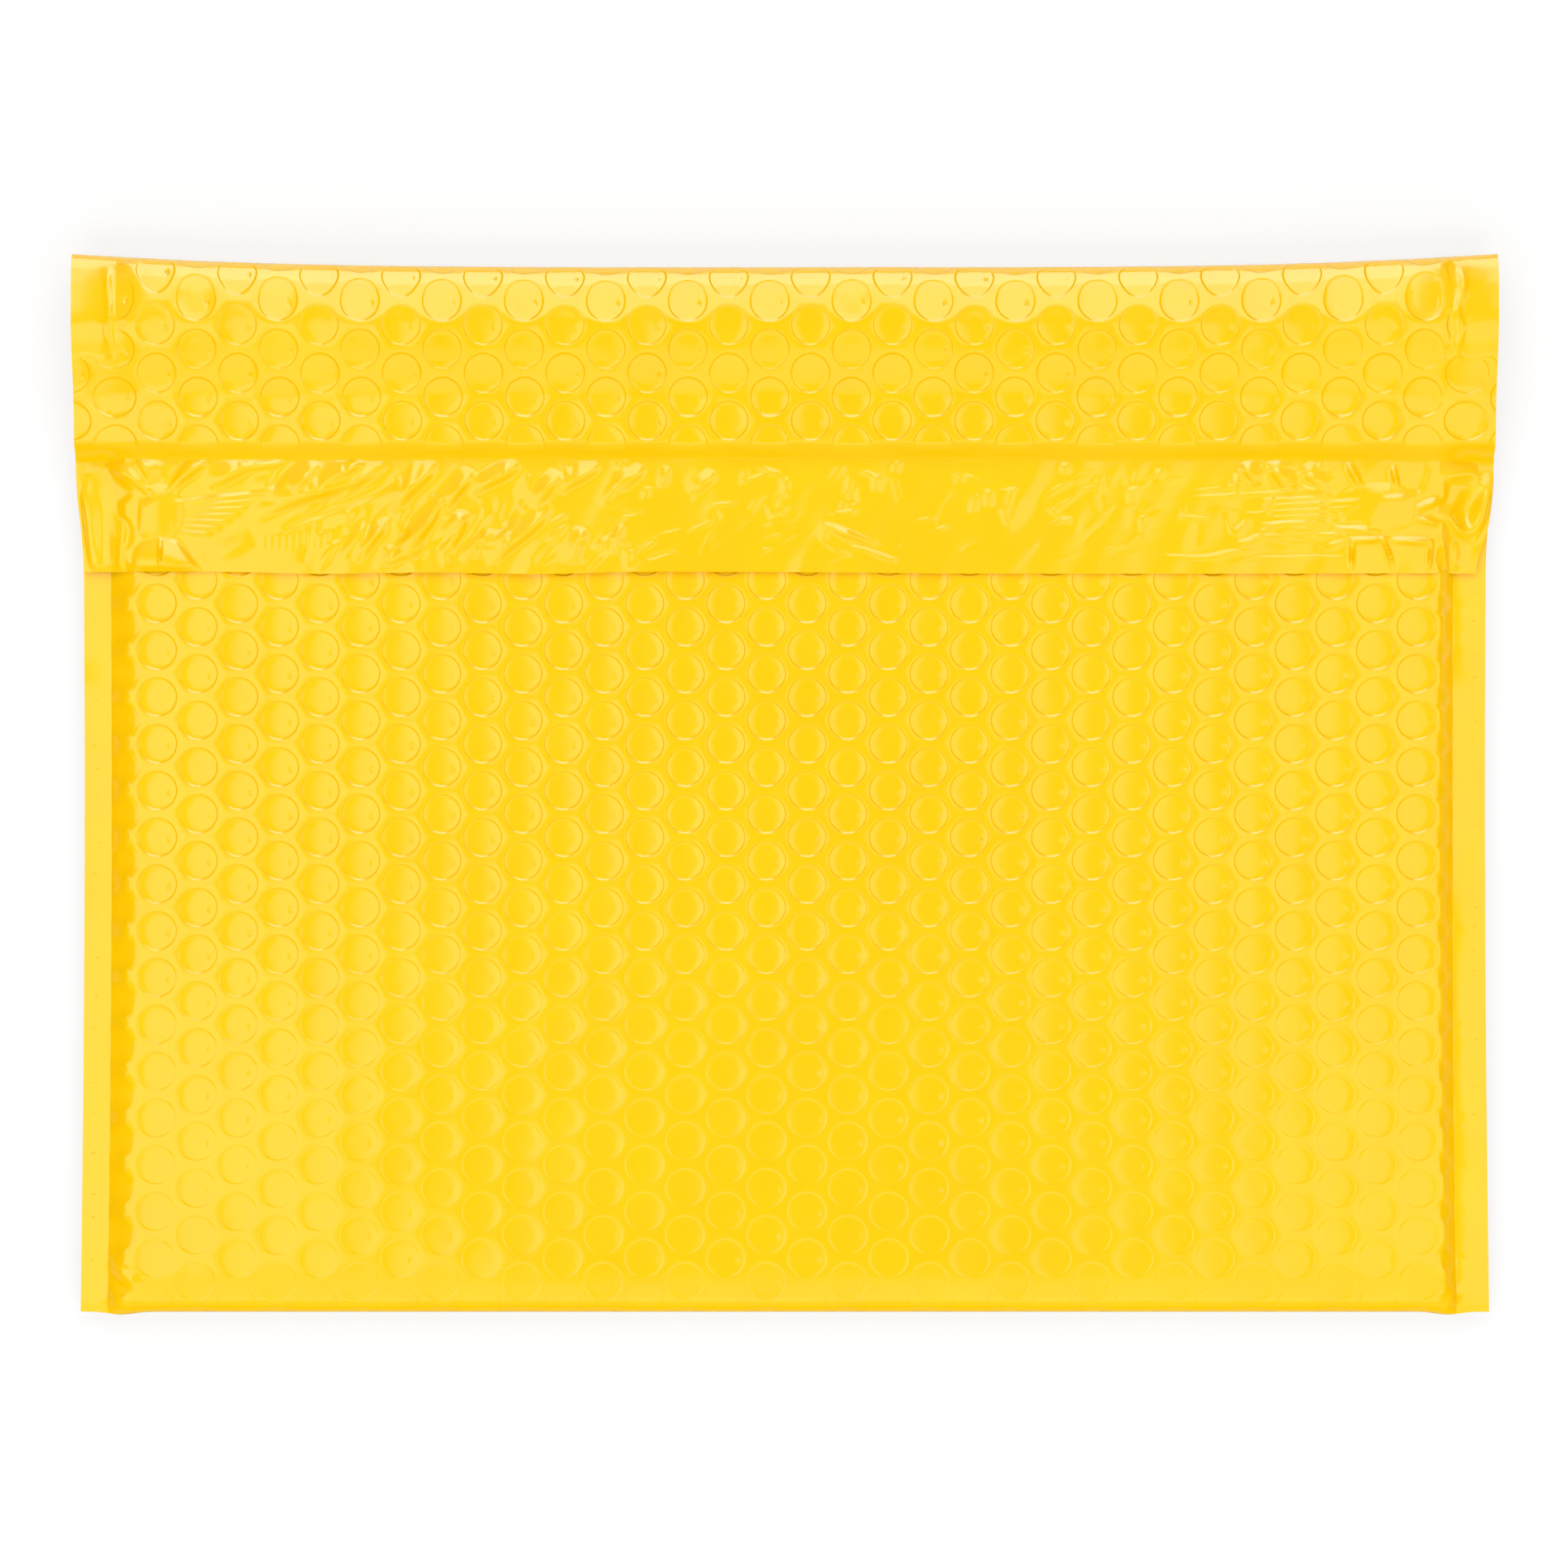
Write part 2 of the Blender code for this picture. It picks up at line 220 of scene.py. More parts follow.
def film_group():
    group = bpy.data.node_groups.new("poly_film", "ShaderNodeTree")
    face = group.interface
    for name, value in (("Rim Height", 1.0), ("Pinch", 1.0), ("Grain", 1.0), ("Haze", 0.2)):
        socket = face.new_socket(name=name, in_out="INPUT", socket_type="NodeSocketFloat")
        socket.default_value = value
    for name, kind in (("Color", "Color"), ("Roughness", "Float"), ("Height", "Float")):
        face.new_socket(name=name, in_out="OUTPUT", socket_type="NodeSocket" + kind)
    nodes, links = group.nodes, group.links
    given, result = nodes.new("NodeGroupInput"), nodes.new("NodeGroupOutput")
    math_node = math_for(group)

    def noise(vector, scale, detail):
        node = nodes.new("ShaderNodeTexNoise")
        node.inputs["Scale"].default_value = scale
        node.inputs["Detail"].default_value = detail
        links.new(vector, node.inputs["Vector"])
        return node.outputs["Fac"]

    place = nodes.new("ShaderNodeTexCoord").outputs["Object"]
    cell = nodes.new("ShaderNodeUVMap")
    cell.uv_map = "bubble"
    split = nodes.new("ShaderNodeSeparateXYZ")
    links.new(cell.outputs["UV"], split.inputs[0])
    across = math_node("SUBTRACT", split.outputs["X"], 0.5)
    up = math_node("SUBTRACT", split.outputs["Y"], 0.5)
    squares = math_node("MULTIPLY", across, across), math_node("MULTIPLY", up, up)
    away = math_node("SQRT", math_node("ADD", *squares))
    rim_at = RIM / PITCH
    # the wall of the dish: flat outside the rim, dropping over a narrow band inside it
    wall = nodes.new("ShaderNodeMapRange")
    wall.interpolation_type = "SMOOTHSTEP"
    wall.inputs["From Min"].default_value = rim_at + RIM_WALL[0]
    wall.inputs["From Max"].default_value = rim_at + RIM_WALL[1]
    links.new(away, wall.inputs["Value"])
    kept = nodes.new("ShaderNodeAttribute")
    kept.attribute_name = "bubbles"
    clear = kept.outputs["Fac"]
    rim = math_node("MULTIPLY", wall.outputs["Result"], given.outputs["Rim Height"])
    rim = math_node("MULTIPLY", rim, clear)
    # the pinch: a short dent where each bubble was drawn off its roller, faint on some of them
    dx, dy = math_node("SUBTRACT", across, PINCH_AT[0]), math_node("SUBTRACT", up, PINCH_AT[1])
    spread = math_node("ADD", math_node("MULTIPLY", math_node("MULTIPLY", dx, dx), PINCH_TIGHT[0]),
                       math_node("MULTIPLY", math_node("MULTIPLY", dy, dy), PINCH_TIGHT[1]))
    dent = math_node("EXPONENT", math_node("MULTIPLY", spread, -1.0))
    strength = math_node("MULTIPLY_ADD", noise(place, PINCH_SCALE, 1.0), 3.4, -1.35)
    dent = math_node("MULTIPLY", dent, given.outputs["Pinch"])
    dent = math_node("MULTIPLY", dent, math_node("MAXIMUM", strength, 0.06))
    dent = math_node("MULTIPLY", dent, clear)
    grain = math_node("MULTIPLY", noise(place, GRAIN_SCALE, 3.0), given.outputs["Grain"])
    height = math_node("ADD", math_node("SUBTRACT", rim, dent), math_node("MULTIPLY", grain, 0.05))
    links.new(height, result.inputs["Height"])
    haze = math_node("MULTIPLY_ADD", noise(place, HAZE_SCALE, 4.0), 0.08, given.outputs["Haze"])
    links.new(haze, result.inputs["Roughness"])
    tint = nodes.new("ShaderNodeMix")
    tint.data_type = "RGBA"
    tint.inputs["A"].default_value = FILM_YELLOW
    tint.inputs["B"].default_value = FILM_DEEP
    links.new(math_node("MULTIPLY_ADD", noise(place, TINT_SCALE, 3.0), 1.6, -0.4), tint.inputs["Factor"])
    links.new(tint.outputs["Result"], result.inputs["Color"])
    return group


poly_film = film_group()
print("film shader:", ", ".join(item.name for item in poly_film.interface.items_tree))

# %% [markdown]
# ## Two films
# The lined film shows the bubbles welded behind it. The free film of the flap has none, and has a touch
# more grain and haze.


# %% Make the two materials
def film_material(name, rim_height, pinch, grain, haze):
    made = bpy.data.materials.new(name)
    made.use_nodes = True
    nodes, links = made.node_tree.nodes, made.node_tree.links
    shader = nodes["Principled BSDF"]
    film = nodes.new("ShaderNodeGroup")
    film.node_tree = poly_film
    for socket, value in (("Rim Height", rim_height), ("Pinch", pinch), ("Grain", grain), ("Haze", haze)):
        film.inputs[socket].default_value = value
    relief = nodes.new("ShaderNodeBump")
    relief.inputs["Strength"].default_value = 1.0
    relief.inputs["Distance"].default_value = BUMP
    links.new(film.outputs["Height"], relief.inputs["Height"])
    links.new(relief.outputs["Normal"], shader.inputs["Normal"])
    links.new(film.outputs["Color"], shader.inputs["Base Color"])
    links.new(film.outputs["Roughness"], shader.inputs["Roughness"])
    shader.inputs["IOR"].default_value = 1.5
    shader.inputs["Specular IOR Level"].default_value = 0.85
    return made


lined_film = film_material("lined_film", 0.85, 1.0, 0.15, 0.10)
free_film = film_material("free_film", 0.0, 0.0, 0.2, 0.11)
print("materials:", lined_film.name, free_film.name)

# %% [markdown]
# ## The bubble lattice
# The same bubble sits in every place of a hexagonal lattice, more than a thousand times over. That is a
# job for Geometry Nodes: a cloud of points gets its places from each point's number, a tile is put on
# each point, the copies are made real and their borders are merged into one sheet.


# %% Build the lattice tree
def lattice_tree():
    tree = bpy.data.node_groups.new("bubble_lattice", "GeometryNodeTree")
    face = tree.interface
    face.new_socket(name="Geometry", in_out="OUTPUT", socket_type="NodeSocketGeometry")
    for name, kind in (("Tile", "Object"), ("Columns", "Int"), ("Rows", "Int"), ("Pitch", "Float"),
                       ("First X", "Float"), ("First Y", "Float"), ("Material", "Material")):
        face.new_socket(name=name, in_out="INPUT", socket_type="NodeSocket" + kind)
    nodes, links = tree.nodes, tree.links
    given, result = nodes.new("NodeGroupInput"), nodes.new("NodeGroupOutput")
    math_node = math_for(tree)
    index = nodes.new("GeometryNodeInputIndex").outputs[0]
    column = math_node("FLOOR", math_node("DIVIDE", index, given.outputs["Rows"]))
    row = math_node("MODULO", index, given.outputs["Rows"])
    odd = math_node("MODULO", column, 2.0)
    step = math_node("MULTIPLY", given.outputs["Pitch"], math.sqrt(3) / 2)
    x = math_node("MULTIPLY_ADD", column, step, given.outputs["First X"])
    lift = math_node("MULTIPLY_ADD", odd, 0.5, row)
    y = math_node("MULTIPLY_ADD", lift, given.outputs["Pitch"], given.outputs["First Y"])
    place = nodes.new("ShaderNodeCombineXYZ")
    links.new(x, place.inputs["X"])
    links.new(y, place.inputs["Y"])
    points = nodes.new("GeometryNodePoints")
    count = math_node("MULTIPLY", given.outputs["Columns"], given.outputs["Rows"])
    links.new(count, points.inputs["Count"])
    links.new(place.outputs[0], points.inputs["Position"])
    info = nodes.new("GeometryNodeObjectInfo")
    links.new(given.outputs["Tile"], info.inputs["Object"])
    copies = nodes.new("GeometryNodeInstanceOnPoints")
    links.new(points.outputs[0], copies.inputs["Points"])
    links.new(info.outputs["Geometry"], copies.inputs["Instance"])
    real = nodes.new("GeometryNodeRealizeInstances")
    links.new(copies.outputs[0], real.inputs[0])
    merge = nodes.new("GeometryNodeMergeByDistance")
    merge.inputs["Distance"].default_value = 0.02 * MM
    links.new(real.outputs[0], merge.inputs["Geometry"])
    finish = nodes.new("GeometryNodeSetMaterial")
    links.new(merge.outputs[0], finish.inputs["Geometry"])
    links.new(given.outputs["Material"], finish.inputs["Material"])
    links.new(finish.outputs[0], result.inputs[0])
    return tree


lattice = lattice_tree()
print("lattice tree:", ", ".join(item.name for item in lattice.interface.items_tree))

# %% [markdown]
# ## A sheet cut from the lattice
# The tree runs with its inputs filled in, and what it makes is kept as a plain mesh. The sheet is then
# trimmed to the web's outline, and gets extra edges where it will bend.


# %% Run the tree and trim the sheet
def run_tree(tree, values, name):
    """Runs a tree on an empty mesh with these named inputs, and keeps the result as a plain mesh."""
    holder = add_object(name + "_maker", bpy.data.meshes.new(name + "_maker"))
    modifier = holder.modifiers.new(name, "NODES")
    modifier.node_group = tree
    sockets = {item.name: item.identifier for item in tree.interface.items_tree if item.in_out == "INPUT"}
    for key, value in values.items():
        modifier[sockets[key]] = value
    bpy.context.view_layer.update()
    graph = bpy.context.evaluated_depsgraph_get()
    mesh = bpy.data.meshes.new_from_object(holder.evaluated_get(graph), depsgraph=graph)
    mesh.name = name
    bpy.data.objects.remove(holder)
    return mesh


def upright_lines(places):
    return [((x, 0, 0), (1, 0, 0)) for x in places]


def level_lines(places):
    return [((0, y, 0), (0, 1, 0)) for y in places]


def bubble_sheet(name, half_width, y_low, y_high, bubble_x, bubble_y, lines):
    """A flat sheet of bubbles, one of them at (bubble_x, bubble_y), with more edges along the lines."""
    left = 2 * math.ceil((half_width + bubble_x) / COLUMN_STEP / 2) + 2
    down = math.ceil((bubble_y - y_low) / PITCH) + 2
    values = {"Tile": tile, "Columns": left + math.ceil((half_width - bubble_x) / COLUMN_STEP) + 3,
              "Rows": down + math.ceil((y_high - bubble_y) / PITCH) + 3, "Pitch": PITCH,
              "First X": bubble_x - left * COLUMN_STEP, "First Y": bubble_y - down * PITCH,
              "Material": lined_film}
    mesh = run_tree(lattice, values, name)
    bm = bmesh.new()
    bm.from_mesh(mesh)
    bpy.data.meshes.remove(mesh)
    edges = [((side * half_width, 0, 0), (side, 0, 0), True) for side in (-1, 1)]
    edges += [((0, y_low, 0), (0, -1, 0), True), ((0, y_high, 0), (0, 1, 0), True)]
    edges += [(place, normal, False) for place, normal in lines]
    for place, normal, clear in edges:
        everything = bm.verts[:] + bm.edges[:] + bm.faces[:]
        bmesh.ops.bisect_plane(bm, geom=everything, dist=0.02 * MM, plane_co=place, plane_no=normal,
                               clear_outer=clear)
    bmesh.ops.recalc_face_normals(bm, faces=bm.faces)
    if sum(face.normal.z for face in bm.faces) < 0:
        bmesh.ops.reverse_faces(bm, faces=bm.faces)
    return bm


print("bubbles in 100 mm: %.1f across, %.1f up" % (100 * MM / COLUMN_STEP, 100 * MM / PITCH))

# %% [markdown]
# ## From a flat sheet to a closed piece
# Each padded piece has a face and a back with the same layout. Extruding the whole sheet keeps the first
# copy as the back, lifts the new one as the face, and adds the walls between their edges, so the piece is
# closed from the start. Then both copies are bent by their own rules.


# %% Define the steps that close and bend a sheet
def closed_from(bm, name, bend, material):
    """bend(x, run, dish, face) gives x, y, z and how clear the bubbles stay. face is True on the outside."""
    back = set(bm.verts)
    bmesh.ops.extrude_face_region(bm, geom=bm.faces[:], use_keep_orig=True)
    bm.verts.ensure_lookup_table()
    flat = np.array([vert.co[:] for vert in bm.verts])
    face = np.array([vert not in back for vert in bm.verts])
    x, y, z, clear = bend(flat[:, 0], flat[:, 1], flat[:, 2], face)
    for vert, place in zip(bm.verts, np.column_stack((x, y, z)).tolist()):
        vert.co = place
    bmesh.ops.recalc_face_normals(bm, faces=bm.faces)
    for polygon in bm.faces:
        polygon.smooth = True
    mesh = bpy.data.meshes.new(name)
    bm.to_mesh(mesh)
    bm.free()
    mesh.attributes.new("bubbles", "FLOAT", "POINT").data.foreach_set("value", clear.astype(np.float32))
    mesh.set_sharp_from_angle(angle=math.radians(60))
    mesh.materials.append(material)
    print("%s: %d faces" % (name, len(mesh.polygons)))
    return add_object(name, mesh)


def set_out(x, y):
    """Draws the straight outline to the real one: the waist, the bowed top fold, the splayed flap."""
    across = np.minimum(np.abs(x) / SEAM_OUT, 1)
    waist = WAIST * (1 - (y / high.y) ** 2) * across
    splay = SPLAY * blend(PAD_X, SEAM_OUT, np.abs(x)) * blend(FILM_Y, LINED_Y, y)
    bow = FOLD_BOW * across**4 * blend(TOP_Y - 15 * MM, TOP_Y - 1 * MM, y)
    return x + np.sign(x) * (splay - waist), y + bow


print("corner of the top fold: %.1f, %.1f mm" % tuple(float(c) / MM for c in set_out(SEAM_OUT, TOP_Y)))

# %% [markdown]
# ## The section of the pouch
# Front and back are the same web, folded at the bottom. It is flat over most of its width, comes down
# steeply beside the welds, and lies in flat strips along them. The slope starts along the rims of the
# outermost bubbles, so the edge of the padding is scalloped.

# %% Say how full the pouch is at each place
FRONT_BUBBLE = (5.4 * MM, BOTTOM_Y + 13.3 * MM)
FRONT_DRAW = 0.992  # the web is drawn a little shorter in its length
POUCH_TOP = AXIS_Y + 1 * MM  # the front ends here, inside the top fold
FOLD_RUN = LAYER * math.pi / 2  # a quarter turn round the foot
WELD = 0.16 * MM  # half the thickness of a weld
WEB_CREST = 159.0 * MM  # the slope starts here between two bubbles
SEAM_LEFT, SEAM_RIGHT = SEAM_IN + 0.9 * MM, SEAM_IN - 0.5 * MM  # the slopes end here
OUTER_COLUMNS = (-17, 16)  # columns of bubbles that lie on the slopes, counted from FRONT_BUBBLE
LOW_DISH = 0.34  # depth of the lowest bubbles as a share of the others
SLIM_FOOT = 0.16  # the front layer is this much thinner at the foot
CORNER_DROP = 0.7 * MM  # the weld's end sticks out below the bottom fold


def crest(x, run):
    """Where the slope starts: along the rims of the outermost bubbles, and straight across between them."""
    column = np.where(x < 0, *OUTER_COLUMNS)
    middle = np.abs(FRONT_BUBBLE[0] + column * COLUMN_STEP)
    up = run - FRONT_BUBBLE[1] - (column % 2) * PITCH / 2
    off = (up + PITCH / 2) % PITCH - PITCH / 2
    rim = middle - np.sqrt(np.maximum(RIM**2 - off**2, 0))
    return np.minimum(rim, WEB_CREST)


def pouch_fullness(x, run):
    """How full the pouch is: 1 over the middle, 0 at the welds, with an even slope between."""
    top = crest(x, run)
    seam = np.where(x < 0, SEAM_LEFT, SEAM_RIGHT)
    return 1 - np.clip((np.abs(x) - top) / (seam - top), 0, 1) ** 1.15


print("slope: %.1f to %.1f mm across" % (WEB_CREST / MM, SEAM_LEFT / MM))

# %% [markdown]
# ## The pouch
# The front copy of the sheet rises with its fullness and keeps its bubbles as dishes. They get shallower
# towards the foot, where the film is pulled flat, and fade out in the welds, where heat has flattened
# them. The sheet gets extra edges wherever the film bends most.


# %% Bend the pouch
def weld_sway(x, run):
    """The slight unevenness of the welded strips."""
    return 0.16 * MM * ripple(x, run, 9 * MM, 8) + 0.25 * MM * ripple(x, run, 34 * MM, 9)


def corner_fold(x, run):
    """The gussets at the ends of the bottom fold: a kinked facet, larger on the left."""
    up = run - FOOT_Y
    fold = 1.0 * MM * bump(x, up, -159.4 * MM, 5.4 * MM, 4.2 * MM, 1.5 * MM, -46)
    fold = fold + 0.6 * MM * bump(x, up, -161.4 * MM, 0.0, 2.4 * MM, 3.2 * MM)
    return fold + 0.8 * MM * bump(x, up, 160.9 * MM, -0.5 * MM, 3.0 * MM, 1.4 * MM, 62)


def bend_pouch(x, run, dish, face):
    """The rule for each point of the pouch: run goes up the front and, below FOOT_Y, round the foot."""
    full = pouch_fullness(x, run)
    side = np.where(face, 1.0, -1.0)
    angle = np.clip((FOOT_Y - run) / LAYER, 0, math.pi / 2)
    tuck = blend(POUCH_TOP, POUCH_TOP - 14 * MM, run)
    half = WELD + (LAYER - WELD) * full * np.where(face, tuck, 1.0)
    half = half * (1 - SLIM_FOOT * np.where(face, blend(FOOT_Y + 10 * MM, FOOT_Y - 4 * MM, run), 0.0) ** 1.5)
    sway = 0.26 * MM * ripple(x, run, 46 * MM, 5) + 0.08 * MM * ripple(x, run, 15 * MM, 6)
    half = half + np.where(face, sway, 0.0) * full**2 * np.cos(angle)
    y = np.where(run > FOOT_Y, FOOT_Y + (run - FOOT_Y) * FRONT_DRAW, FOOT_Y) - LAYER * np.sin(angle)
    corner = bump(np.abs(x), run, SEAM_IN - 2.5 * MM, FOOT_Y - FOLD_RUN, 4.0 * MM, 3.5 * MM)
    y = y - CORNER_DROP * corner
    level = blend(crest(x, run) + 0.1 * MM, crest(x, run) - 0.5 * MM, np.abs(x))  # 1 where bubbles show
    depth = LOW_DISH + (1 - LOW_DISH) * blend(BOTTOM_Y + 20 * MM, BOTTOM_Y + 130 * MM, run)
    z = LAYER + side * (half * np.cos(angle) + dish * level * depth * np.cos(angle))
    z = z + np.where(face, corner_fold(x, run) * (1 - level) * np.cos(angle), 0.0)
    weld = blend(SEAM_IN - 0.8 * MM, SEAM_IN + 0.8 * MM, np.abs(x))
    z = z + weld * weld_sway(x, run)
    x, y = set_out(x, y)
    return x, y, np.maximum(z, 0.0), level * depth


# edges beside the welds and the crests, and in the roll at the foot, where the film bends most
left = [-SEAM_LEFT + k * MM for k in (-0.15, 0.0, 0.2, 0.9, 1.7, 2.6, 3.5, 4.2)]
right = [SEAM_RIGHT - k * MM for k in (-0.15, 0.0, 0.2, 0.9, 1.6, 2.3, 3.1, 3.8)]
foot = [FOOT_Y - share * FOLD_RUN for share in (0.0, 0.2, 0.4, 0.6, 0.8)]
foot += [FOOT_Y + k * MM for k in np.arange(0.7, 9.5, 0.8)]
lines = upright_lines(left + right) + level_lines(foot)
sheet = bubble_sheet("pouch", SEAM_OUT, FOOT_Y - FOLD_RUN, POUCH_TOP, *FRONT_BUBBLE, lines)
pouch = closed_from(sheet, "pouch", bend_pouch, lined_film)

# %% [markdown]
# ## The pricks in the welds
# The bar that welds the sides leaves a wandering row of tiny raised pricks. Geometry Nodes puts one small
# flattened bead on each point of a seeded row, at sizes of its own, and makes the copies real.

# %% Scatter the pricks
PRICK = 0.42 * MM  # radius of a bead before its own size factor
PRICK_ROW = 167.4 * MM  # how far out the rows run


def prick_tree():
    """Geometry Nodes that put a bead of its own size on each point."""
    tree = bpy.data.node_groups.new("weld_pricks", "GeometryNodeTree")
    tree.interface.new_socket(name="Geometry", in_out="OUTPUT", socket_type="NodeSocketGeometry")
    for name, kind in (("Places", "Object"), ("Bead", "Object"), ("Material", "Material")):
        tree.interface.new_socket(name=name, in_out="INPUT", socket_type="NodeSocket" + kind)
    nodes, links = tree.nodes, tree.links
    given, result = nodes.new("NodeGroupInput"), nodes.new("NodeGroupOutput")
    places, bead = nodes.new("GeometryNodeObjectInfo"), nodes.new("GeometryNodeObjectInfo")
    links.new(given.outputs["Places"], places.inputs["Object"])
    links.new(given.outputs["Bead"], bead.inputs["Object"])
    size = nodes.new("FunctionNodeRandomValue")
    size.data_type = "FLOAT"
    size.inputs[2].default_value = 0.5
    size.inputs[3].default_value = 1.3
    copies = nodes.new("GeometryNodeInstanceOnPoints")
    links.new(places.outputs["Geometry"], copies.inputs["Points"])
    links.new(bead.outputs["Geometry"], copies.inputs["Instance"])
    links.new(size.outputs[1], copies.inputs["Scale"])
    real = nodes.new("GeometryNodeRealizeInstances")
    links.new(copies.outputs[0], real.inputs[0])
    finish = nodes.new("GeometryNodeSetMaterial")
    links.new(real.outputs[0], finish.inputs["Geometry"])
    links.new(given.outputs["Material"], finish.inputs["Material"])
    links.new(finish.outputs[0], result.inputs[0])
    return tree


def prick_places():
    """Points on the upper side of both welds, below the flap."""
    rng = np.random.default_rng(7)
    x, run = [], []
    for side in (-1, 1):
        at = FOOT_Y + 9 * MM
        while at < FILM_Y - 2 * MM:
            x.append(side * (PRICK_ROW + rng.normal(0, 0.35) * MM))
            run.append(at)
            at += rng.uniform(4, 11) * MM
    x, run = np.array(x), np.array(run)
    z = LAYER + WELD + weld_sway(x, run) - 0.01 * MM
    x, y = set_out(x, FOOT_Y + (run - FOOT_Y) * FRONT_DRAW)
    mesh = bpy.data.meshes.new("prick_places")
    mesh.from_pydata(np.column_stack((x, y, z)).tolist(), [], [])
    return add_object("prick_places", mesh)


def prick_bead():
    """One bead: a low oval dome."""
    bm = bmesh.new()
    bmesh.ops.create_uvsphere(bm, u_segments=8, v_segments=5, radius=PRICK)
    bmesh.ops.scale(bm, vec=(1.0, 0.7, 0.24), verts=bm.verts)
    for polygon in bm.faces:
        polygon.smooth = True
    mesh = bpy.data.meshes.new("prick_bead")
    bm.to_mesh(mesh)
    bm.free()
    return add_object("prick_bead", mesh)


row, bead = prick_places(), prick_bead()
beads = run_tree(prick_tree(), {"Places": row, "Bead": bead, "Material": lined_film}, "weld_pricks")
pricks = add_object("weld_pricks", beads)
for pattern in (row, bead):
    bpy.data.objects.remove(pattern)
print("weld_pricks: %d faces" % len(beads.polygons))

# %% [markdown]
# ## The section of the flap
# The top of the welded pouch is folded over with the lip, so the flap first shows the back of the pouch,
# welds and all, and then the lip, one padded layer whose edges are free. Past the lip there is a step
# down to the free film, which lies on the pouch.

# %% Say how high the lip and the film lie
FLAP_BUBBLE = (6.2 * MM, LINED_Y + 16.7 * MM)
LIP_END = LINED_Y - 5.4 * MM  # foot of the step down to the film
FLAP_RUN = 2 * LAYER * math.pi  # round the top fold
FLAP_SEAM = SEAM_IN + 0.6 * MM  # the folded pouch is full up to its slope beside this line
FLAP_WELD = 160.2 * MM  # inner edge of the flattened strip
FLAP_RIDGE = 0.65 * MM  # the crumpled edge of that strip
FLAP_DROOP = 1.6 * MM  # the flap's front lies this much lower than a full roll
LIP_HANG, FILM_HANG = 1.8 * MM, 3.0 * MM  # how far the free ends hang down
FILM_LIFT = 0.65 * MM  # room between the film and the full pouch
PLUMP = 0.8  # under 1 the roll over the top is squarer than a circle


def film_lie(x, y):
    """Height of the free film where it lies on the pouch; its ends hang down to the welds."""
    hang = FILM_HANG * blend(PAD_X - 1 * MM, SEAM_IN + 3 * MM, np.abs(x))
    return FRONT_Z + FILM_LIFT - hang + 0.16 * MM * ripple(x, y, 24 * MM, 22)


def lip_height(x, y):
    """The lip's outer face: one layer above the pouch, its ends hanging, then the step down to the film."""
    top = 3 * LAYER - LIP_HANG * blend(PAD_X - 8 * MM, SEAM_OUT, np.abs(x))
    sway = 0.7 * MM * ripple(x, 0 * y, 21 * MM, 24)
    step = blend(LIP_END + 0.4 * sway, LINED_Y + 0.8 * MM, y) ** 0.9
    foot = film_lie(x, y) - 0.45 * MM
    return foot + (top - foot) * step


def flap_fullness(x):
    """How full the folded pouch is under the flap: 1 over the middle, 0 at its welds."""
    return np.sqrt(np.maximum(1 - blend(FLAP_SEAM - SLOPE, FLAP_SEAM, np.abs(x)) ** 1.3, 0))


print("step down to the film: %.1f mm" % ((3 * LAYER - FRONT_Z - FILM_LIFT) / MM))

# %% [markdown]
# ## The lined flap
# The sheet runs from the end of the lining up the front, over the fold and down behind it. Its height
# over the middle plane of the roll is worked out first, and then the roll is made, squarer than a circle.
# Over the welds it is a flattened strip with a crumpled edge.


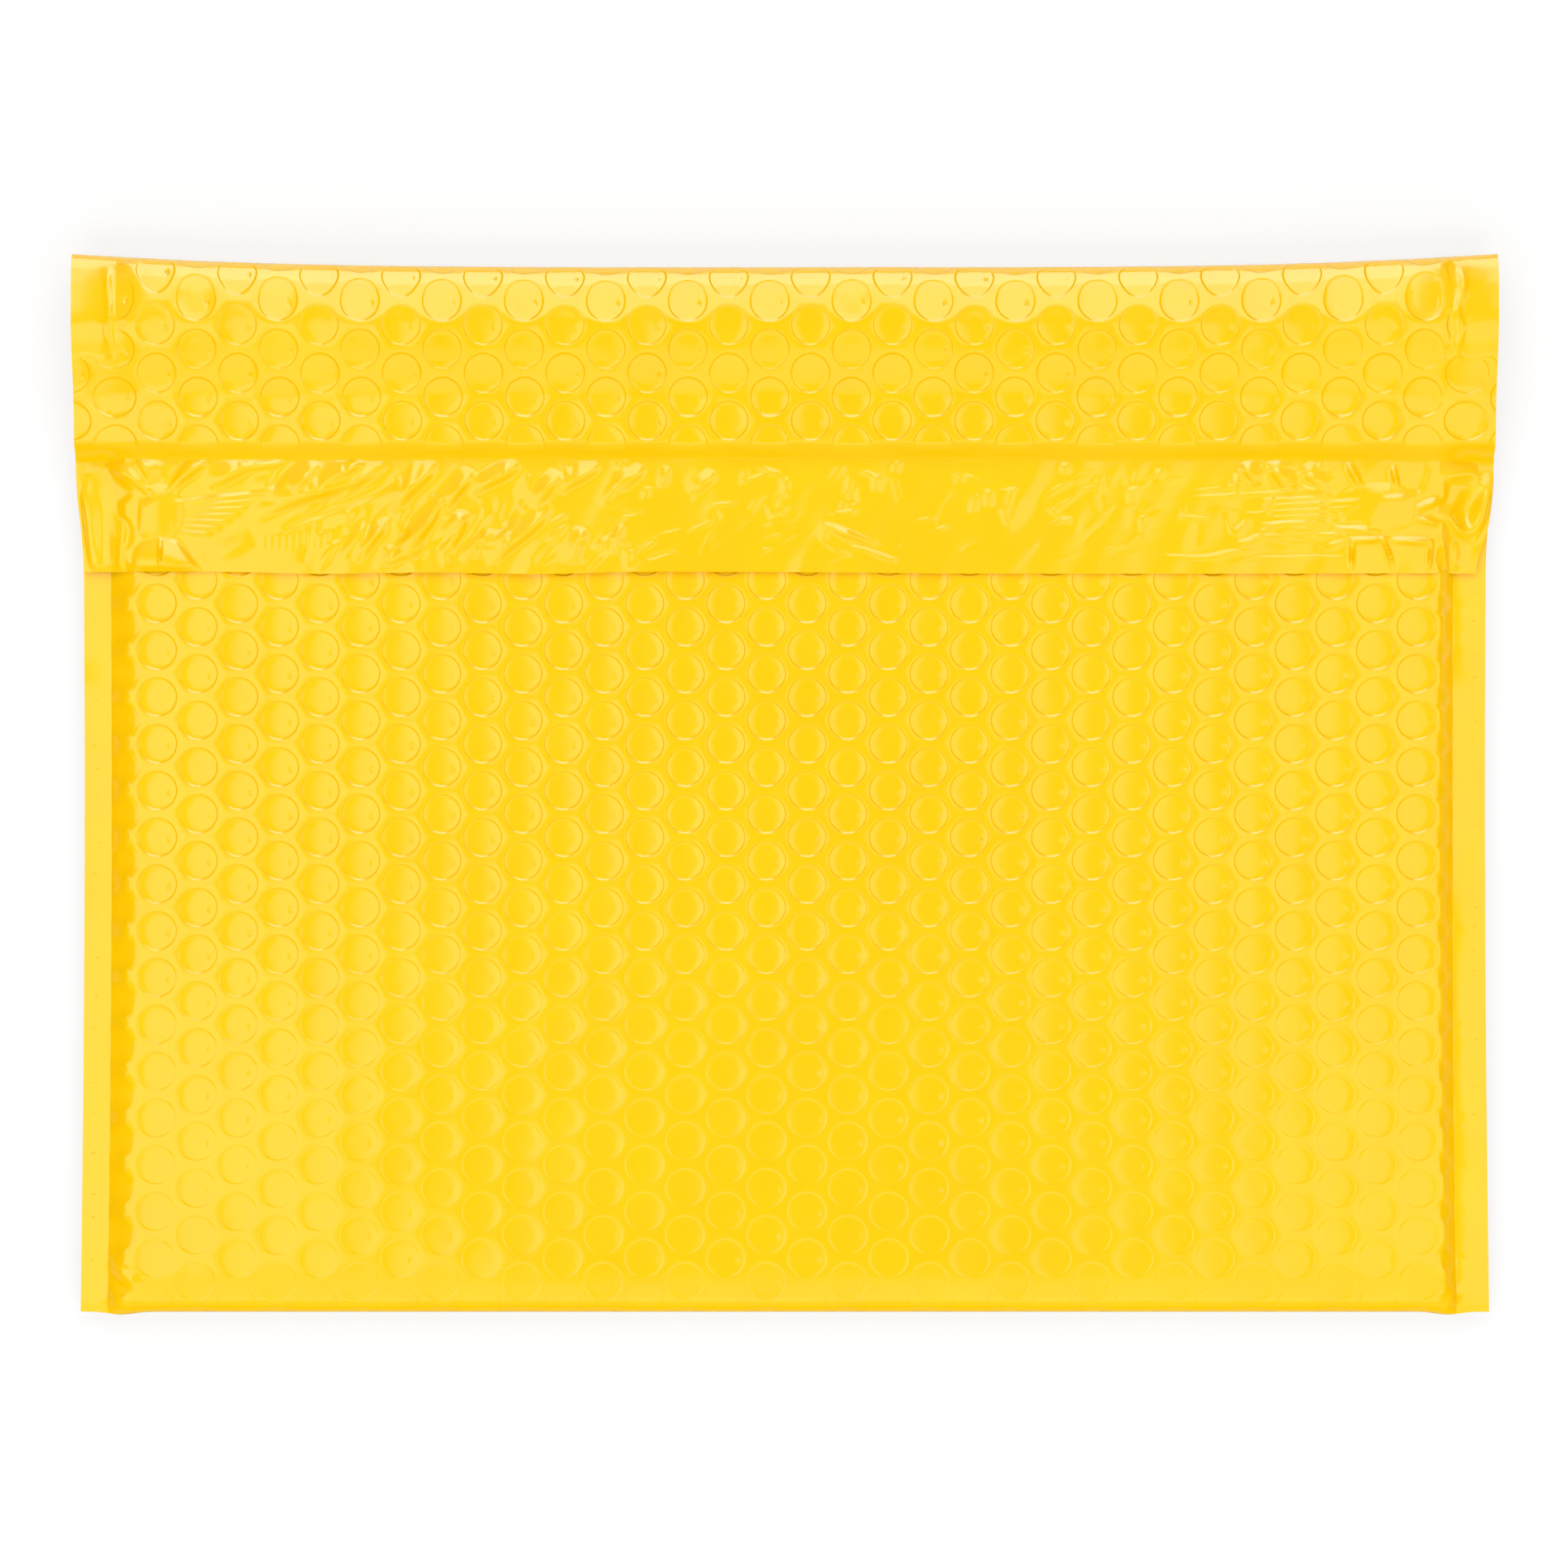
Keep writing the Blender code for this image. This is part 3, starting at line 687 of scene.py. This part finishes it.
# %% Bend the flap
def bend_flap(x, run, dish, face):
    """The rule for each point of the flap: run goes up its front and, past AXIS_Y, round the top fold."""
    full = flap_fullness(x)
    soft = blend(SEAM_OUT, PAD_X - 6 * MM, np.abs(x))
    turned = blend(LINED_Y + 7 * MM, TURN_Y + 8 * MM, run)
    angle = np.clip((run - AXIS_Y) / (2 * LAYER), 0, math.pi)
    sway = 0.26 * MM * ripple(x, run, 30 * MM, 15) + 0.14 * MM * ripple(x, run, 12 * MM, 16)
    folded = np.where(face, 2 * LAYER - 1.5 * MM * (1 - soft), LAYER - WELD - (LAYER - 2 * WELD) * full)
    lip = lip_height(x, run) - 2 * LAYER
    lip = np.where(face, lip, np.minimum(lip - 0.3 * MM, np.maximum(lip - 0.94 * LAYER, 0.1 * MM)))
    welded = blend(TURN_Y - 0.6 * MM, TURN_Y + 0.6 * MM, run) * (1 - full)
    share = np.maximum(turned, np.where(face, 0.0, welded))
    reach = folded * share + lip * (1 - share)
    reach = reach + np.where(face, sway, 0.0) * np.cos(np.minimum(angle, math.pi / 2))
    flat = blend(TURN_Y - 0.8 * MM, TURN_Y + 0.8 * MM, run)  # 1 on the flattened strips over the welds
    flat = flat * blend(FLAP_WELD - 1.6 * MM, FLAP_WELD, np.abs(x))
    kink = np.abs(x) - FLAP_WELD - 1.6 * MM - 0.9 * MM * ripple(np.sign(x) * 3 * MM, run, 4.5 * MM, 17)
    ridge = FLAP_RIDGE * np.exp(-((kink / FLAP_RIDGE) ** 2)) * blend(0.6, 0.1, angle)
    reach = reach - np.where(face, 0.30 * MM - ridge, 0.0) * flat
    droop = np.where(face, FLAP_DROOP * blend(AXIS_Y - 8 * MM, AXIS_Y + 6 * MM, run), 0.0)
    reach = reach - droop
    shown = (1 - flat) * (1 - 0.8 * blend(0.5, 1.5, angle))  # 1 where bubbles show
    shown = shown * blend(LINED_Y - 1.5 * MM, LINED_Y + 1.0 * MM, run)
    reach = reach + np.where(face, dish, 0.0) * shown * (1 - 0.5 * blend(AXIS_Y - 9 * MM, AXIS_Y, run))
    lost = np.where(face, 1.5 * MM * (1 - soft) + 0.30 * MM * flat, 0.0) + droop
    plump = np.where(face, PLUMP, 1.0)
    y = np.minimum(run, AXIS_Y) + (reach + lost) * np.sin(angle) ** plump
    z = 2 * LAYER + reach * np.sign(np.cos(angle)) * np.abs(np.cos(angle)) ** plump
    x, y = set_out(x, y)
    return x, y, np.maximum(z, 0.0), shown


strip = [FLAP_SEAM - SLOPE] + [FLAP_WELD + k * MM for k in (0.0, 0.7, 1.4, 2.1, 2.8, 3.5)]
levels = [TURN_Y - 0.6 * MM, TURN_Y + 0.6 * MM]
levels += [AXIS_Y + share * FLAP_RUN for share in np.arange(0.05, 1.0, 0.05)]
levels += [LIP_END + k * MM for k in (0.8, 1.6, 2.4, 3.2, 4.0, 4.8, 5.6, 6.6)]
lines = upright_lines([-x for x in strip] + strip) + level_lines(levels)
sheet = bubble_sheet("flap", SEAM_OUT, LIP_END, AXIS_Y + FLAP_RUN, *FLAP_BUBBLE, lines)
flap = closed_from(sheet, "flap", bend_flap, lined_film)

# %% [markdown]
# ## The free film of the flap
# Past the lining only the thin film is left. It comes down from the lip in a steep step and is pulled flat
# by the adhesive behind it, which leaves creases: a smooth patch over the end of the adhesive strip, folds
# that fan out of its corners, and fine wrinkles along its length. The creases are added up on a fine grid,
# the main ones listed and the small ones by a seeded rule that follows the direction of the pull.

# %% Define a crease
FILM_OUT = 170.2 * MM
FILM_DEPTH = LIP_END - FILM_Y + 3.2 * MM  # it runs on under the strip of weld
FILM_THICK = 0.14 * MM
FILM_GRID = (610, 80)  # points across and up
FILM_CROWD = 0.35  # how much closer they are at both ends than evenly spread
FILM_CLEAR = 0.3 * MM  # the least room between the film and what it lies on
RIGHT_SHORT = 2.4 * MM  # the right corner stops short by this much


def crease(x, y, x0, y0, length, width, height, turn, curl=0.0, lean=1.0):
    """A ridge, or a valley if height is negative, that fades out at its ends.

    It bends by curl, and its left flank is lean times as wide as its right one.
    """
    c, s = math.cos(math.radians(turn)), math.sin(math.radians(turn))
    along, side = (x - x0) * c + (y - y0) * s, (y - y0) * c - (x - x0) * s
    t = along / (length / 2)
    side = side - curl * length * (t**3 - t)
    width = np.where(side > 0, lean * width, width)
    return height * np.maximum(1 - t * t, 0) * np.exp(-((side / width) ** 2))


print("free film: %.1f by %.1f mm" % (2 * FILM_OUT / MM, FILM_DEPTH / MM))

# %% [markdown]
# ## The creases of the photograph
# The main creases are listed one by one, in three groups: round the smooth patch at the left end, the
# diagonals beside it, and round the right end. Likewise the few soft pillows.

# %% List the main creases
# across and up from the middle of the free edge, length, width, height (mm), turn (degrees), bend
LEFT_END = (
    (-168.2, 11.0, 26.0, 1.1, 0.9, -86, 0.03), (-160.6, 6.0, 18.0, 1.1, 1.2, 80, -0.05),
    (-158.2, 14.0, 14.0, 2.2, -1.0, 82, 0.0), (-158.8, 22.4, 12.0, 1.1, 1.4, -42, 0.06),
    (-156.9, 20.4, 10.0, 1.0, -0.9, -44, 0.0), (-154.3, 25.0, 8.0, 1.3, 1.1, -58, 0.0),
    (-144.2, 24.0, 13.0, 1.2, 1.4, 46, 0.10), (-146.8, 24.6, 10.0, 1.1, -0.9, 55, 0.0),
    (-134.2, 23.4, 12.0, 1.3, 1.2, 34, 0.06), (-125.6, 26.0, 13.0, 1.2, 1.0, 8, 0.0),
    (-121.8, 23.8, 9.0, 1.1, -1.0, 56, 0.0), (-115.6, 23.0, 10.0, 1.1, 1.1, 54, 0.08),
    (-151.0, 4.2, 8.0, 0.40, 0.75, 90, 0.0), (-143.5, 4.0, 10.0, 0.7, -0.8, -52, 0.0),
    (-134.0, 5.5, 12.0, 1.6, 0.35, 24, 0.0),
)
DIAGONALS = (
    (-112.0, 19.5, 36.0, 1.2, 1.2, 22, 0.05), (-108.0, 16.3, 30.0, 1.0, -0.7, 24, 0.05),
    (-106.9, 24.2, 14.0, 1.2, 1.2, 31, 0.06), (-89.7, 20.5, 17.0, 1.2, 1.3, 55, 0.12),
    (-99.5, 8.2, 13.0, 0.9, 1.0, 62, 0.10), (-87.3, 10.4, 18.0, 1.1, 1.3, 65, 0.12),
    (-79.4, 19.3, 14.0, 1.1, 1.2, 60, 0.12), (-69.8, 22.6, 14.0, 1.1, 1.2, 38, 0.12),
    (-79.2, 9.5, 12.0, 1.2, 0.9, 70, 0.06), (-63.7, 8.8, 20.0, 1.1, 1.2, 50, 0.12),
    (-57.5, 20.0, 11.0, 1.1, 1.0, 60, 0.12), (-49.8, 22.6, 13.0, 1.0, 1.0, 40, 0.12),
    (-50.0, 6.5, 10.0, 1.0, 0.7, 82, 0.06), (-40.4, 8.0, 8.0, 0.8, 0.7, 84, 0.0),
    (-37.0, 22.5, 9.0, 1.0, 0.8, 50, 0.10), (-29.0, 23.0, 6.0, 0.8, 0.6, 80, 0.0),
    (-19.5, 21.5, 8.0, 1.1, 0.7, 55, 0.10), (16.5, 8.6, 15.0, 0.8, 0.8, -24, 0.0),
    (20.5, 6.2, 14.0, 0.8, -0.7, -24, 0.0), (23.0, 4.4, 9.0, 0.8, 0.6, -22, 0.0),
)
RIGHT_END = (
    (112.4, 23.7, 7.0, 1.0, 1.1, -48, 0.0), (119.4, 23.3, 9.0, 1.3, 1.2, -50, 0.05),
    (127.6, 22.6, 8.0, 1.1, 1.0, -42, 0.0), (137.5, 23.6, 7.0, 0.8, 1.2, -60, 0.0),
    (147.4, 22.8, 6.0, 0.7, 1.0, -76, 0.0), (153.6, 22.6, 7.0, 1.0, -0.9, 70, 0.0),
    (139.0, 10.2, 14.0, 0.6, 0.6, -7, 0.0), (148.0, 18.0, 7.0, 0.5, 0.5, 4, 0.0),
    (155.8, 16.6, 8.0, 0.8, 0.9, 22, 0.0), (155.6, 12.4, 8.0, 0.8, 0.8, -14, 0.0),
    (137.1, 4.6, 8.0, 0.6, 0.9, 88, 0.0), (141.2, 8.0, 11.0, 0.7, 0.9, 3, 0.0),
    (145.9, 5.0, 8.5, 0.45, 1.1, -70, 0.0), (151.7, 7.6, 12.0, 0.7, 0.9, -3, 0.0),
    (156.3, 4.2, 8.0, 0.6, 0.9, 86, 0.0), (162.2, 11.4, 11.0, 0.9, 1.4, -40, 0.05),
    (162.5, 23.6, 9.0, 1.4, 1.3, 4, -0.08), (168.5, 15.5, 18.0, 1.1, 1.0, 83, 0.0),
    (164.8, 16.0, 12.0, 2.2, -1.3, 74, 0.0), (160.2, 5.1, 11.0, 0.7, 1.1, -73, 0.0),
    (158.6, 5.0, 9.0, 0.7, -0.8, -74, 0.0), (163.6, 4.0, 8.0, 1.0, 0.7, -78, 0.0),
)
# soft pillows: across, up, half width, half height, rise (mm)
PILLOWS = (
    (-151.8, 14.4, 6.4, 7.4, 0.9), (-150.4, 0.5, 9.0, 8.0, 1.7), (-121.0, 21.0, 9.0, 4.0, 0.5),
    (143.0, 15.5, 11.0, 6.5, 0.7), (165.0, 16.0, 5.0, 8.0, 0.6), (-165.5, 12.0, 4.0, 16.0, 0.7),
)
print("main creases:", len(LEFT_END + DIAGONALS + RIGHT_END))

# %% [markdown]
# ## The lie of the film
# Combs of like creases fan out of the patch, lie one below the other at the right end, and stand in two
# short rows above the free edge. The small wrinkles come from a seeded rule. All of it is added to the
# height at which the film lies, and fades out at the weld and at the free edge. The film never sinks into
# the pouch: where it would, it is lifted smoothly to lie just above it.

# %% Say how high the film lies at each place
SMALL_CREASES = 200
MAIN_RISE = 1.1  # all main creases are this much higher than the tables say
MAIN_LEAN = 2.3  # the wide main ridges have one steep and one gentle flank


def comb(count, first, step):
    """A row of like creases: the first one's seven values, and what is added to them for each next one."""
    return [tuple(value + k * more for value, more in zip(first, step)) for k in range(count)]


def small_creases(x, up):
    """Fine wrinkles: diagonal on the left, short and upright at the step, level on the right."""
    rng = np.random.default_rng(12)
    total = np.zeros_like(x)
    for _ in range(SMALL_CREASES):
        across, high = rng.uniform(-116, 136), rng.uniform(3, 26)
        size = rng.uniform(0.5, 1.0)
        pick = rng.uniform()
        if high > 21 and pick < 0.7 or pick < 0.25:
            turn, length, size = rng.normal(86, 14), rng.uniform(3, 7), 0.8 * size
        elif across < -40:
            turn, length = rng.normal(52, 14), rng.uniform(6, 12)
        elif across > 90:
            turn, length, size = rng.normal(3, 5), rng.uniform(10, 24), 0.62 * size
        else:
            turn, length, size = rng.normal(25, 30), rng.uniform(5, 10), 0.5 * size
        near = np.abs(x - across * MM) < 13 * MM
        total[near] += crease(x[near], up[near], across * MM, high * MM, length * MM, 1.25 * size * MM,
                              0.5 * size * rng.choice((-1, 1, 1)) * MM, turn, rng.normal(0, 0.08))
    return total


def film_surface(x, up):
    """Height of the film's outer face: up is measured from the free edge."""
    lie = film_lie(x, FILM_Y + up) + 0.08 * MM * ripple(x, up, 7 * MM, 23)
    lie = lie + 0.17 * MM * ripple(x - 0.5 * up, 0.4 * up, 5.5 * MM, 27)  # soft folds down from the lip
    folds = small_creases(x, up)
    combs = comb(7, (-136.0, 18.1, 24.0, 0.50, 0.60, 7.0, 0.01), (-1.2, -1.43, -2.4, 0, -0.03, -2.0, 0))
    combs += comb(8, (122.0, 19.4, 26.0, 0.60, 0.36, 5.0, 0.01), (0.9, -1.45, 1.0, 0, 0, -0.5, 0))
    combs += comb(10, (-126.0, 7.2, 4.5, 0.50, 0.12, 90.0, 0.0), (1.7, 0.15, 0, 0, 0.02, -1.0, 0))
    combs += comb(5, (-72.5, 8.0, 5.0, 0.45, 0.45, 84.0, 0.0), (1.25, 0, 0, 0, 0, 0, 0))
    for across, high, length, width, rise, turn, bend in LEFT_END + DIAGONALS + RIGHT_END + tuple(combs):
        near = np.abs(x - across * MM) < 22 * MM
        lean = MAIN_LEAN if width > 0.8 and rise > 0 else 1.0
        folds[near] += crease(x[near], up[near], across * MM, high * MM, length * MM, width * MM,
                              MAIN_RISE * rise * MM, turn, bend, lean)
    for across, high, half_width, half_height, rise in PILLOWS:
        inside = 1 - ((x / MM - across) / half_width) ** 2 - ((up / MM - high) / half_height) ** 2
        folds += rise * MM * np.maximum(inside, 0) ** 0.8
    taut = blend(LIP_END - FILM_Y + 3 * MM, LIP_END - FILM_Y, up) * blend(0.0, 2.2 * MM, up + 0.5 * MM)
    z = lie + folds * taut
    bed = LAYER + LAYER * pouch_fullness(x, FOOT_Y + (FILM_Y + up - FOOT_Y) / FRONT_DRAW) + 0.4 * MM
    gap = z - bed
    lifted = FILM_CLEAR * np.exp(np.minimum(gap / FILM_CLEAR - 1, 0))
    return bed + np.where(gap > FILM_CLEAR, gap, lifted)


middle = film_surface(np.array([0.0]), np.array([FILM_DEPTH / 2]))[0]
print("middle of the film: %.2f mm high" % (middle / MM))

# %% [markdown]
# ## The film
# A fine grid takes these heights. Its points are closer together towards both ends, where most creases
# are. The right corner is cut a little short, and the free edge isn't quite straight.


# %% Make the film
def film_piece():
    """A fine grid over the free film, given a thin wall so that it is closed."""
    columns, rows = FILM_GRID
    u, v = np.meshgrid(np.linspace(-1, 1, columns), np.linspace(0, 1, rows), indexing="ij")
    u, v = u.ravel(), v.ravel()
    x = FILM_OUT * np.sign(u) * ((1 + FILM_CROWD) * np.abs(u) - FILM_CROWD * u * u)
    up = v * FILM_DEPTH
    z = film_surface(x, up)
    short = RIGHT_SHORT * blend(13 * MM, 0.0, up) * (u > 0) + 0.5 * MM * ripple(0 * x, up, 9 * MM, 31)
    x = x - np.sign(x) * short * blend(0.90 * SEAM_OUT, SEAM_OUT, np.abs(x))
    hem = 0.35 * MM * ripple(x, 0 * x, 26 * MM, 32) * (1 - v) ** 2
    x, y = set_out(x, FILM_Y + up + hem)
    bm = bmesh.new()
    bm.loops.layers.uv.new("bubble")
    grid = [bm.verts.new(place) for place in np.column_stack((x, y, z)).tolist()]
    for i in range(columns - 1):
        for j in range(rows - 1):
            k = i * rows + j
            bm.faces.new((grid[k], grid[k + rows], grid[k + rows + 1], grid[k + 1]))
    made = bmesh.ops.extrude_face_region(bm, geom=bm.faces[:], use_keep_orig=True)["geom"]
    for item in made:
        if isinstance(item, bmesh.types.BMVert):
            item.co.z -= FILM_THICK
    bmesh.ops.recalc_face_normals(bm, faces=bm.faces)
    for face in bm.faces:
        face.smooth = True
    mesh = bpy.data.meshes.new("flap_film")
    bm.to_mesh(mesh)
    bm.free()
    mesh.set_sharp_from_angle(angle=math.radians(70))
    mesh.materials.append(free_film)
    print("flap_film: %d faces" % len(mesh.polygons))
    return add_object("flap_film", mesh)


flap_film = film_piece()

# %% [markdown]
# ## Floor
# A white floor catches a soft shadow. For the camera most of its white is its own glow, so the background
# is as pale as in the photograph without more light on the object. In the film's reflections it is dark
# in front of the mailer, which keeps the foot deep in colour, and pale behind the top fold, whose edge is
# bright.

# %% Make the floor
FLOOR_LIT = 0.55  # shade that the light bounces off, back onto the mailer
FLOOR_SEEN = 0.24  # shade that the camera sees, which carries the shadow
FLOOR_GLOW = 0.72  # glow that only the camera sees
FLOOR_FRONT, FLOOR_BEHIND = 0.25, 0.95  # shades that the film mirrors


def grey(value):
    return (value, value, value, 1)


def floor_material():
    made = bpy.data.materials.new("white_floor")
    made.use_nodes = True
    nodes, links = made.node_tree.nodes, made.node_tree.links
    shader = nodes["Principled BSDF"]
    shader.inputs["Roughness"].default_value = 0.9
    shader.inputs["Specular IOR Level"].default_value = 0.0
    shader.inputs["Emission Color"].default_value = grey(1)
    ray = nodes.new("ShaderNodeLightPath")
    shade = nodes.new("ShaderNodeMix")
    shade.data_type = "RGBA"
    shade.inputs["A"].default_value = grey(FLOOR_LIT)
    shade.inputs["B"].default_value = grey(FLOOR_SEEN)
    links.new(ray.outputs["Is Camera Ray"], shade.inputs["Factor"])
    split = nodes.new("ShaderNodeSeparateXYZ")
    links.new(nodes.new("ShaderNodeTexCoord").outputs["Object"], split.inputs[0])
    tone = nodes.new("ShaderNodeMapRange")
    tone.inputs["From Max"].default_value = TOP_Y
    tone.inputs["To Min"].default_value = FLOOR_FRONT
    tone.inputs["To Max"].default_value = FLOOR_BEHIND
    links.new(split.outputs["Y"], tone.inputs["Value"])
    mirrored = nodes.new("ShaderNodeMix")
    mirrored.data_type = "RGBA"
    links.new(shade.outputs["Result"], mirrored.inputs["A"])
    links.new(tone.outputs["Result"], mirrored.inputs["B"])
    links.new(ray.outputs["Is Glossy Ray"], mirrored.inputs["Factor"])
    links.new(mirrored.outputs["Result"], shader.inputs["Base Color"])
    glow = math_for(made.node_tree)("MULTIPLY", ray.outputs["Is Camera Ray"], FLOOR_GLOW)
    links.new(glow, shader.inputs["Emission Strength"])
    return made


bpy.ops.mesh.primitive_plane_add(size=30.0)
floor = bpy.context.object
floor.name = "floor"
floor.location.z = -0.3 * MM
floor.data.materials.append(floor_material())
print("floor: %.0f m" % floor.dimensions.x)

# %% [markdown]
# ## Light
# Two kinds of panels light the mailer. The fill panels stand round it and give the film its colour, and
# its reflections don't show them. The sheen panels show in the reflections and nowhere else. They stand
# where the photograph's pale sheen asks for them: beyond the top fold, beside both ends and below the
# foot. None hangs straight over the middle, so the film there stays deep in colour. The world is white
# for the camera and nearly dark for the film.

# %% Place the panels and make the world
# name, place, size across, size up, power
PANELS = (
    ("fill_low", (0.0, -2.00, 1.80), 5.0, 2.4, 93.0),
    ("fill_top", (0.0, 2.00, 1.80), 5.0, 2.4, 76.0),
    ("fill_left", (-1.50, 0.0, 2.40), 1.2, 3.0, 14.5),
    ("fill_right", (1.50, 0.0, 2.40), 1.2, 3.0, 14.5),
    ("sheen_top", (0.0, 1.375, 0.67), 0.9, 1.1, 10.5),
    ("sheen_upper", (0.0, 0.85, 1.31), 0.9, 0.65, 3.6),
    ("sheen_left", (-0.92, 0.0, 1.60), 0.9, 1.6, 4.6),
    ("sheen_right", (0.95, 0.0, 1.60), 0.9, 1.6, 3.6),
    ("sheen_low", (0.0, -0.76, 1.60), 1.4, 0.66, 1.6),
)
WORLD_DIM = 0.02
for name, place, wide, tall, power in PANELS:
    light = bpy.data.lights.new(name, "AREA")
    light.shape = "RECTANGLE"
    light.size, light.size_y, light.energy = wide, tall, power
    lamp = add_object(name, light)
    lamp.location = place
    lamp.rotation_euler = (-Vector(place)).to_track_quat("-Z", "Y").to_euler()
    lamp.visible_camera = False
    lamp.visible_diffuse = name.startswith("fill")
    lamp.visible_glossy = name.startswith("sheen")

world = bpy.data.worlds.new("studio")
bpy.context.scene.world = world
world.use_nodes = True
sky = world.node_tree.nodes["Background"]
sky.inputs["Color"].default_value = grey(1)
to_camera = world.node_tree.nodes.new("ShaderNodeLightPath").outputs["Is Camera Ray"]
strength = math_for(world.node_tree)("MULTIPLY_ADD", to_camera, 1 - WORLD_DIM, WORLD_DIM)
world.node_tree.links.new(strength, sky.inputs["Strength"])
bpy.context.scene.view_settings.view_transform = "Standard"
print("panels:", len(PANELS))

# %% [markdown]
# ## Hand over
# The pieces replace the plain solid and ride on its one body. The tile was only a pattern, so it goes.

bpy.data.objects.remove(tile)
for piece in (pouch, pricks, flap, flap_film):
    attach(piece, "root")
    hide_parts("mailer")
